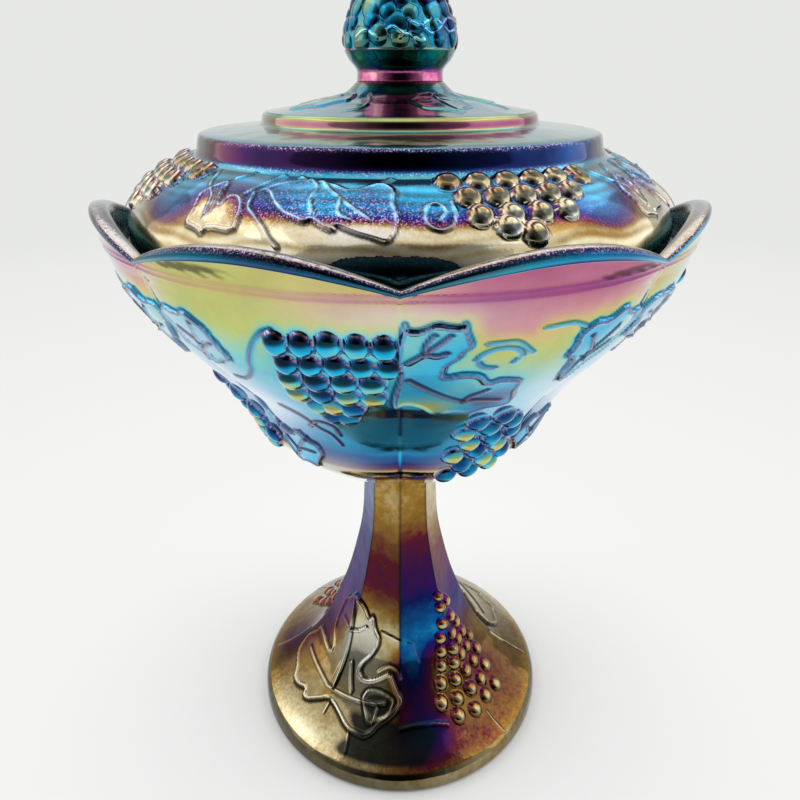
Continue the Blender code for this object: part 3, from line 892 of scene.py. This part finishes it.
def lid_ornament(relief):
    """Grapes, leaves and tendrils of one quarter of the dome."""
    relief.add_rows([(217.3, 9.4, 6.3, 6), (214.9, 12.2, 5.5, 5), (211.9, 13.4, 5.6, 4)], 3.1, 1.9)
    relief.add_grape(22, 208.6, 3.3, 1.8)
    relief.add_grape(17.8, 210, 3.2, 1.8)
    relief.add_grape(40.6, 216.6, 3.0, 1.6)
    left = [
        (-36.4, 216.6), (-38.6, 215.6), (-41.3, 213.8), (-39.8, 210.8), (-39.6, 208),
        (-36.2, 207.6), (-34.4, 206.6), (-33.8, 208.2), (-27.7, 208), (-27.9, 210.4),
        (-28.5, 212.8), (-30.6, 214.4), (-33.4, 214.2), (-34, 212),
    ]
    middle = [
        (-28.1, 215), (-25.3, 215.4), (-23.1, 213.8), (-20.3, 212), (-17.5, 211.2),
        (-15.6, 210.6), (-14.7, 211.4), (-12.6, 210.2), (-10.4, 209.4), (-10.3, 210.6),
        (-7.2, 209.4), (-3.5, 208.4), (-1.9, 207.8), (-0.8, 209.6), (-0.2, 212.3),
        (-1.3, 214.4), (-0.7, 216.2), (-3.4, 217.4), (-9, 216), (-13, 217), (-19, 217.4),
        (-24, 216.8),
    ]
    relief.add_leaf(left, 0.25, 0.4, 0.38)
    relief.add_leaf(middle, 0.25, 0.4, 0.38)
    relief.add_lines([
        [(-16.3, 217.4), (-10.6, 214.8), (-4.8, 211.4)], [(-21, 218), (-16.2, 216.6),
         (-16, 214.4), (-14.8, 212.4)], [(-10.6, 214.8), (-10.2, 212.4), (-8, 211.4)],
        [(-36, 214.8), (-35, 211.6), (-35.6, 209.4)],
    ], 0.4, 0.35, on_top=True)
    relief.add_lines([
        [(6.4, 211.4), (7.6, 213), (6.4, 214.2), (4.6, 213.8), (4, 212), (5, 210.4),
         (6.8, 209.9), (8.6, 210.8), (9.2, 212.6), (9, 214.4)],
        [(-28.1, 215), (-27.4, 212.7), (-25.2, 211.2), (-22.6, 209.3), (-21.2, 207.8),
         (-19.2, 206.2)],
        [(-3.3, 217.4), (-1.7, 218.1)], [(-36, 216.8), (-33, 218)],
        [(-30, 214.6), (-27.5, 216.6), (-25, 218)],
        [(46, 217.6), (49, 215.4), (52.5, 213.6), (54, 210)],
    ], 0.42, 0.5)


def crown_ornament(relief):
    """A pointed leaf of the ring of four that lies round the foot of the neck."""
    leaf = [
        (18, 233.4), (10, 232.4), (4, 231.9), (9, 231.2), (12, 230.3), (20, 230.2),
        (28, 229.5), (33, 230.2), (42, 230.4), (44, 231.2), (51, 231.8), (46, 232.6),
        (40, 233.4),
    ]
    relief.add_leaf(leaf, 0.3, 0.2, 0.6, [
        [(29, 233.4), (29, 231.8), (28.4, 230)], [(29, 232.4), (20, 231.6), (12, 231.5)],
        [(29, 232.4), (38, 231.6), (45, 231.6)],
    ], 0.6, 0.2)
    relief.add_line([(60, 233.2), (68, 231.8), (70, 230.6), (64, 229.8)], 0.5, 0.35)


def lid_film(azimuth, height, relief):
    """Order of the film on the dome."""
    sway = (-1.2 + 2.4 * bell(wrap(azimuth - 41, REPEAT), 12)
            + 0.4 * wave(azimuth * 20) + 0.5 * wave(azimuth * 8 + 50))
    order = stepped(height + sway, [
        (196, 2.1), (200, 2.3), (203, 2.9), (206, 3.3), (208, 4.0), (209.4, 5.2),
        (210.8, 7.2), (212.4, 8.1), (214.6, 8.6), (217, 9.2), (219.5, 9.5)])
    # Pale gold on the left leaf; silver-grey rather than gold at the front of the repeat
    order = towards(order, 3.0, np.clip(1.2 * blob(azimuth, height, -35, 211, 6.5, 4, REPEAT), 0, 1))
    order = towards(order, 2.4, 0.9 * blob(azimuth, height, -6, 209.4, 22, 1.8, REPEAT))
    order += 1.2 * blob(azimuth, height, -11, 212.2, 13, 1.3, REPEAT) * relief.leaf
    rings = np.sin(relief.edge * 17) * smoothstep(0.15, 0.4, relief.edge)
    grapes = (2.5 + 0.3 * relief.tone + smoothstep(211, 217, height)
              + (1.0 + 2.4 * rings) * smoothstep(-0.4, 0.2, relief.lift))
    order = np.where(relief.grape > 0.5, grapes, order)
    swirl = np.sin(height * 2.6 + 2.2 * wave(azimuth * 8 + 30) + 1.4 * wave(azimuth * 20))
    order += 0.35 * swirl * smoothstep(209.5, 207.5, height)
    threads = relief.line ** 2 * (relief.grape < 0.5) * smoothstep(209.5, 211.5, height)
    return towards(order, 10.0, 0.7 * threads)


def make_lid(material):
    crown = smooth_run([
        (NECK_RADIUS, LID_TOP), (15.6, 233.6), (24.6, 231.2), (DISC_RADIUS - 0.9, 228.8)], 50)
    step = rounded([
        (DISC_RADIUS - 0.9, 228.75), (DISC_RADIUS, 228.2), (DISC_RADIUS + 0.5, 225.7),
        (COLLAR_RADIUS - 3.2, COLLAR_TOP), (COLLAR_RADIUS - 1.0, COLLAR_TOP - 0.6),
        (COLLAR_RADIUS - 0.5, COLLAR_TOP - 2.4), (COLLAR_RADIUS, 219.4),
        (COLLAR_RADIUS + 1.8, 218.0)], 1.1, 0.7)
    dome = smooth_run([
        (COLLAR_RADIUS + 1.9, 217.95), (67.1, 215.2), (73.4, 210.6), (77.2, 206.4),
        (79, 202.8), (LID_RADIUS, 200.2)], 96)
    edge = rounded([
        (LID_RADIUS, 200.0), (LID_RADIUS - 0.2, LID_SEAT + 0.8), (LID_RADIUS - 1.0, LID_SEAT),
        (LID_RADIUS - 6.4, LID_SEAT), (LID_RADIUS - 7.4, 201.0)], 0.8, 1.2)
    inside = smooth_run([
        (LID_RADIUS - 7.5, 201.3), (67.5, 207.6), (60.5, 212.0), (54.0, 214.4)], 14)
    ceiling = rounded([
        (54.0, 214.5), (52.4, 216.8), (51.0, 219.6), (37.0, 221.4), (22.0, 225.8),
        (0.0, 228.0)], 1.6, 2.5)
    cap = np.array([(0.0, LID_TOP), (4.0, LID_TOP), (8.0, LID_TOP)])
    profile, (_, leaves, collar, shell, foot, _, _) = join(
        cap, crown, step, dome, edge, inside, ceiling)
    top = slice(0, leaves.stop)
    azimuths = round_azimuths(LID_COLUMNS)
    relief = Relief(dome, azimuths[:LID_COLUMNS // 4], REPEAT)
    lid_ornament(relief)
    relief.tile(4)
    sepals = Relief(crown, azimuths, REPEAT)
    crown_ornament(sepals)
    points = turned(profile[:, :1], azimuths, profile[:, 1:])
    proud = np.zeros(points.shape[:2])
    proud[shell], proud[leaves] = relief.up, sepals.up
    raise_ornament(points, slice(None), proud)

    turns, levels = np.meshgrid(azimuths, profile[:, 1])
    order = np.full(turns.shape, 9.0)
    stipple, painted_sheen, shade = (np.zeros(turns.shape) for _ in range(3))
    # The top, with the pointed leaves
    order[top] = 10.0 + 0.8 * wave(turns[top] * 4 + 60)
    base = 1 - smoothstep(12.8, 13.8, crown[:, :1])
    order[leaves] = towards(order[leaves], 13.6, base) - 0.8 * sepals.groove
    # The top darker overall, with a painted dark reflection across its front and back and painted
    # shade closing in round the neck
    shade[top] = (0.50 + 0.18 * bell(wrap(turns[top], 180), 42)
                  + 0.2 * smoothstep(24, 16, profile[top, :1]))
    # The disc's edge, the collar and the fillet below it
    turn, level = turns[collar], levels[collar]
    disc = smoothstep(225.8, 226.6, level)
    rim = smoothstep(COLLAR_TOP - 0.8, COLLAR_TOP - 0.2, level)
    fillet = 1 - smoothstep(218.4, 219.6, level)
    wall = stepped(wrap(turn), [
        (-180, 6.8), (-130, 5.8), (-90, 4.2), (-60, 5.0), (-30, 6.1), (0, 6.8), (30, 7.3),
        (60, 7.2), (90, 6.2), (130, 5.4), (180, 6.8)])
    disc_film = 13.2 + 0.9 * wave(turn + 30) - 2.4 * smoothstep(227.5, 228.3, level)
    order[collar] = towards(towards(towards(wall, 9.8, rim), disc_film, disc), 9.4, fillet)
    stipple[collar] = bell(level - COLLAR_TOP + 0.75, 0.45) + 0.8 * bell(level - 218.7, 0.4)
    # A painted dark reflection across the collar's top at front and back, painted shade on the wall
    # towards its ends and across its middle, and painted shade on the rim and in the fillet
    side = np.abs(wrap(turn, 180))
    painted_collar_reflection = bell(side, 40) * (level > COLLAR_TOP - 0.8) * (1 - disc)
    ends = 0.8 * smoothstep(50, 66, side) + 0.45 * smoothstep(46, 32, side)
    shade[collar] = (0.22 + 0.25 * rim + 0.25 * painted_collar_reflection + 0.05 * disc + 0.35 * fillet
                     + ends * (1 - rim) * (1 - disc) * (1 - fillet))
    # The dome, with a painted reflection of the dark gap under its front
    turn, level = turns[shell], levels[shell]
    side = wrap(turn) + 1
    top_edge = 205.5 - 1.7 * (side / 9.6) ** 4 + 0.1 * np.sin(side * 2.3) + 0.06 * np.sin(side * 7)
    lens = smoothstep(0.12, -0.12, level - top_edge) * smoothstep(10.4, 9.6, np.abs(side))
    order[shell] = towards(lid_film(turn, level, relief), 9.3, lens)
    veil = blob(turn, level, -8, 211.5, 20, 3, REPEAT)
    stipple[shell] = np.clip(0.15 + 0.25 * relief.leaf + 0.7 * veil, 0, 1) * (relief.grape < 0.5)
    # Wavy painted reflection streaks; a darker band just above the painted gap reflection at the
    # front
    painted_streaks = np.sin(level * 4.2 + 1.3 * wave(turn * 12))
    band = bell(level - 207, 0.7) * smoothstep(34, 20, np.abs(side))
    # Painted shade on each grape's lower half
    painted_low_shade = smoothstep(0.1, -0.25, relief.lift) * (1 - smoothstep(0.55, 0.8, relief.edge))
    # Painted shade in the grooves, over the gap's painted reflection and on the grapes, growing
    # towards the collar, with the streaks and a darker patch low at the front of each repeat
    shade[shell] = np.clip(
        0.75 * relief.groove + 0.7 * lens + 0.22 * band + relief.grape * (0.3 + 0.7 * painted_low_shade)
        + (1 - relief.grape) * (
            0.26 + 0.22 * smoothstep(212.5, 215.5, level) + 0.3 * smoothstep(216.6, 218.4, level)
            + 0.22 * painted_streaks * smoothstep(210.5, 213.0, level)
            + 0.12 * blob(turn, level, -4, 208, 26, 3.5, REPEAT)), 0, 0.9)
    # Painted highlights along the ridges and round the grapes' rims
    painted_sheen[shell] = (0.5 * relief.line ** 3 * (1 - relief.grape)
                   + 0.3 * relief.grape * smoothstep(0.84, 0.98, relief.edge))
    # The painted reflection of the gap runs out over the lid's edge; painted shade lies over the
    # edge and the whole underside
    gap = (smoothstep(10.4, 9.0, np.abs(wrap(turns[foot]) + 1))
           * smoothstep(LID_SEAT + 0.5, 200.2, levels[foot]))
    order[foot] = towards(2.2, 9.3, gap)
    shade[foot.start:] = 0.3
    shade[foot] += 0.6 * gap
    return glass_solid("lid_glass_body", points,
                       {"film": order, "stipple": stipple, "painted_sheen": painted_sheen, "shade": shade},
                       "lid", "lid", material)


# ---------------------------------------------------------------- finial

def make_finial(material):
    neck = smooth_run([
        (NECK_RADIUS, LID_TOP), (NECK_RADIUS, 239.2), (14.4, 241.7), (15.7, 244.0)], 30)[::-1]
    bunch = smooth_run([
        (0, FINIAL_TOP - 1.1), (6.4, 262.7), (10.9, 258.8), (13.3, 253.8), (15, 249.2),
        (15.4, 246.6), (15.3, 244.2)], 120)
    cap = np.array([(9.0, LID_TOP), (5.0, LID_TOP), (0.0, LID_TOP)])
    profile, (grapes, band, _) = join(bunch, neck, cap)
    azimuths = round_azimuths(FINIAL_COLUMNS)
    relief = Relief(bunch, azimuths, 360.0)
    rows = [(246.6, 16), (249.8, 15), (253, 15), (256, 13), (259, 11), (261.6, 8), (263.6, 4)]
    for row, (height, count) in enumerate(rows):
        for k in range(count):
            turn = (k + 0.5 * (row % 2)) * 360.0 / count + 6.0 * row
            stray = math.sin(turn * 1.9 + row)
            relief.add_grape(turn + 3 * stray, height + 0.8 * math.sin(turn * 0.21 + row),
                             2.5 + 0.6 * stray, 0.9)
    # Wandering seams of glass between the grapes
    for n in range(22):
        start, height = (137.5 * n) % 360, 246.6 + (5.3 * n) % 13.5
        seam = [(start + 6 * k, height + 0.8 * math.sin(1.4 * k + n)) for k in range(5)]
        relief.add_line(seam, 0.32, 0.35, on_top=True)
    points = turned(profile[:, :1], azimuths, profile[:, 1:])
    raise_ornament(points, grapes, relief.up)

    side = np.tile(wave(azimuths), (len(profile), 1))
    order = 9.3 - 2.2 * np.clip(side, 0, 1) ** 3 - 0.2 * side
    order[grapes] += (0.5 * relief.lift - 0.9 * relief.edge ** 3 + 0.7 * relief.tone
                      + 0.2 - 0.8 * smoothstep(249, 256, bunch[:, 1:]))
    flared = smoothstep(238.6, 240.0, neck[:, 1:])
    order[band] = towards(14.1 + 0.4 * side[band], 16.3, flared)
    painted_sheen, shade = np.zeros(side.shape), np.zeros(side.shape)
    # The bunch darkened overall (partly its own dark tone), with painted shade between the grapes
    # and at the neck's flared foot, and painted highlights along the seams
    painted_sheen[grapes] = 0.25 * relief.line ** 2
    shade[grapes] = np.clip(0.62 + 0.26 * relief.edge ** 4 - 0.75 * relief.line, 0, 0.9)
    shade[band] = 0.05 + 0.4 * flared
    return glass_solid("finial_glass_body", points, {"film": order, "painted_sheen": painted_sheen, "shade": shade},
                       "lid", "finial", material)


# ---------------------------------------------------------------- studio

BACKDROP = (0.80, 0.81, 0.79)
FLOOR_REACH = 4.0  # metres


def make_floor():
    """Paper; far out it glows evenly, so that it meets the backdrop without an edge."""
    mesh = bpy.data.meshes.new("floor")
    sides = ((-1, -1), (1, -1), (1, 1), (-1, 1))
    mesh.from_pydata([(x * FLOOR_REACH, y * FLOOR_REACH, 0) for x, y in sides], [], [(0, 1, 2, 3)])
    material = bpy.data.materials.new("floor_paper")
    material.use_nodes = True
    graph = Graph(material.node_tree)
    paper = graph.nodes["Principled BSDF"]
    graph.put((0.77, 0.77, 0.76, 1), paper.inputs["Base Color"])
    graph.put(0.8, paper.inputs["Roughness"])
    away = graph.add("VectorMath", {0: graph.place()}, operation="LENGTH").outputs["Value"]
    fade = graph.ranged(away, 0.03, 0.22)
    tones = graph.ramp(away, [(0.25, (0.905, 0.91, 0.895)), (1.0, BACKDROP)])
    glow = graph.add("Emission", {"Color": tones})
    mix = graph.add("MixShader", {0: fade, 1: paper.outputs[0], 2: glow.outputs[0]})
    graph.put(mix.outputs[0], graph.nodes["Material Output"].inputs["Surface"])
    mesh.materials.append(material)
    add_object("floor", mesh)


def make_world():
    """A white tent, darker on the side from which the object is looked at."""
    world = bpy.data.worlds.new("tent")
    bpy.context.scene.world = world
    world.use_nodes = True
    graph = Graph(world.node_tree)
    tilt = math.radians(12)
    facing = graph.add("VectorMath", {0: graph.place("Generated"),
                                      1: (0.0, -math.cos(tilt), math.sin(tilt))},
                       operation="DOT_PRODUCT").outputs["Value"]
    tones = ((0.30, 0.86), (0.60, 0.58), (0.80, 0.28), (0.90, 0.10), (0.965, 0.02))
    greys = [(at, (tone, tone, tone * 1.03)) for at, tone in tones]
    tent = graph.nodes["Background"]
    colour = graph.ramp(facing, [(0.0, BACKDROP), *greys, (1.0, (0.008, 0.008, 0.010))])
    graph.put(colour, tent.inputs["Color"])
    # Seen directly, the tent is the same plain backdrop all round
    plain = graph.add("Background", {"Color": (*BACKDROP, 1)})
    direct = graph.add("LightPath", {}).outputs["Is Camera Ray"]
    mix = graph.add("MixShader", {0: direct, 1: tent.outputs[0], 2: plain.outputs[0]})
    graph.put(mix.outputs[0], graph.nodes["World Output"].inputs["Surface"])


def add_light(name, place, aim, size, power):
    light = bpy.data.lights.new(name, "AREA")
    light.shape = "RECTANGLE"
    light.size, light.size_y = size
    light.energy = power
    lamp = add_object(name, light)
    lamp.location = place
    lamp.rotation_euler = (Vector(aim) - Vector(place)).to_track_quat("-Z", "Y").to_euler()


def make_camera():
    camera = bpy.data.cameras.new("camera")
    camera.lens, camera.sensor_width = 28.8, 36.0
    camera.clip_start = 0.01
    eye = add_object("camera", camera)
    eye.location = (0.0, -0.20475, 0.2382)
    eye.rotation_euler = (math.radians(63.0), 0.0, 0.0)
    bpy.context.scene.camera = eye


make_camera()
make_floor()
make_world()
add_light("top_box", (0.0, 0.25, 1.2), (0.0, 0.0, 0.1), (2.2, 1.7), 10.0)
add_light("left_box", (-1.0, 0.0, 0.7), (0.0, 0.0, 0.12), (1.3, 1.3), 5.0)
add_light("right_box", (1.0, 0.0, 0.7), (0.0, 0.0, 0.12), (1.3, 1.3), 5.0)
bpy.context.scene.view_settings.view_transform = "Standard"

make_bowl(glass("bowl_film", 0.07, 1.0, 30.0, 0.04, 420.0, 0.5, silver=0.62, specks=0.9))
make_pedestal(glass("pedestal_film", 0.065, 1.25, 60.0, 0.10, 500.0, 0.25, silver=0.3, mottle=0.9,
                    waves=2.2))
make_lid(glass("lid_film", 0.08, 1.6, 46.0, 0.06, 500.0, 0.35, silver=0.42, waves=2.2, specks=0.6))
make_finial(glass("finial_film", 0.09, 5.5, 150.0, 0.08, 600.0, waves=3.0))
